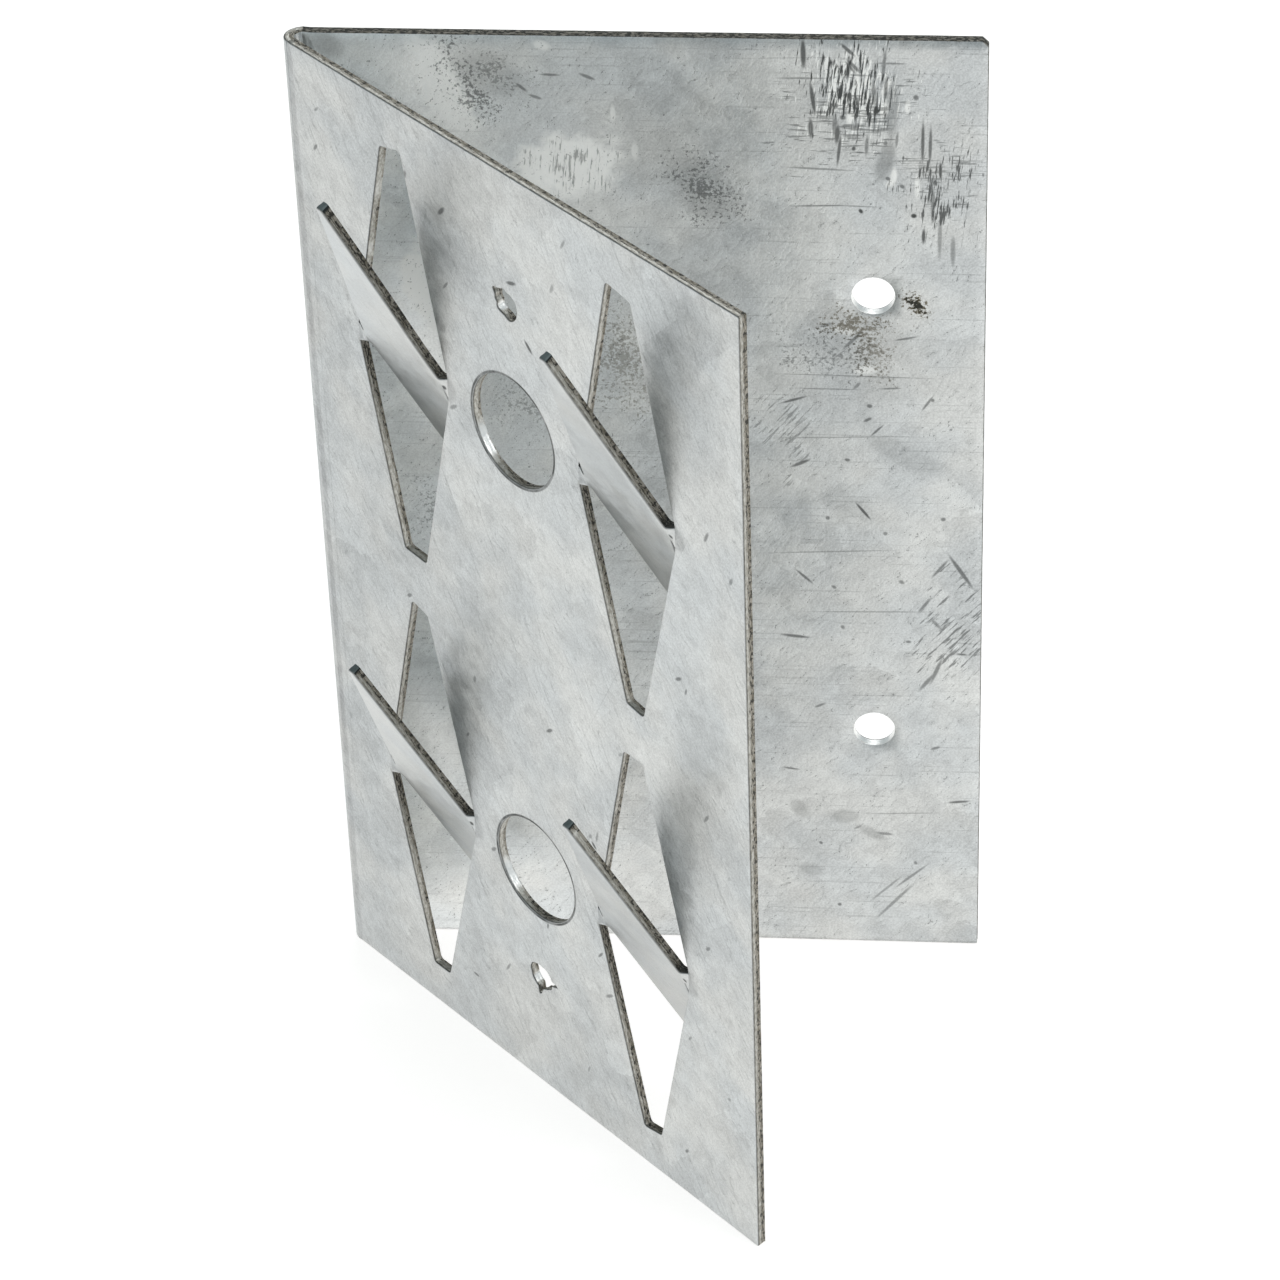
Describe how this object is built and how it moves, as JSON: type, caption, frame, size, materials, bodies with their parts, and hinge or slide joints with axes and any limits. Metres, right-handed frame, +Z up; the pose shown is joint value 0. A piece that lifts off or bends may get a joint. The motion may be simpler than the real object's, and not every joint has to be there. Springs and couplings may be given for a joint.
{
  "type": "roof bracket",
  "caption": "Galvanised sheet-steel roof bracket folded into a narrow V, one leaf plain with nail holes, the other with tilted diamond plates that stand out as prongs.",
  "frame": {"origin": "bottom centre of the bounding box, on the surface the bracket stands on", "axes": "+Z up along the fold; +X from the fold towards the back leaf's free edge; +Y out of the back leaf's outer face"},
  "size_m": [0.1524, 0.1106, 0.254],
  "materials": {
    "galvanised_steel": "hot-dip galvanised, dull pale grey, scuffed and pitted"
  },
  "bodies": {
    "root": {"back_leaf": "galvanised_steel", "fold_bend": "galvanised_steel", "front_leaf_fold_side_lower": "galvanised_steel", "front_leaf_free_side_lower": "galvanised_steel", "front_leaf_web_lower": "galvanised_steel", "front_leaf_fold_side_upper": "galvanised_steel", "front_leaf_free_side_upper": "galvanised_steel", "front_leaf_web_upper": "galvanised_steel", "prong_plate_fold_side_lower": "galvanised_steel", "prong_plate_free_side_lower": "galvanised_steel", "prong_plate_fold_side_upper": "galvanised_steel", "prong_plate_free_side_upper": "galvanised_steel"}
  },
  "joints": []
}
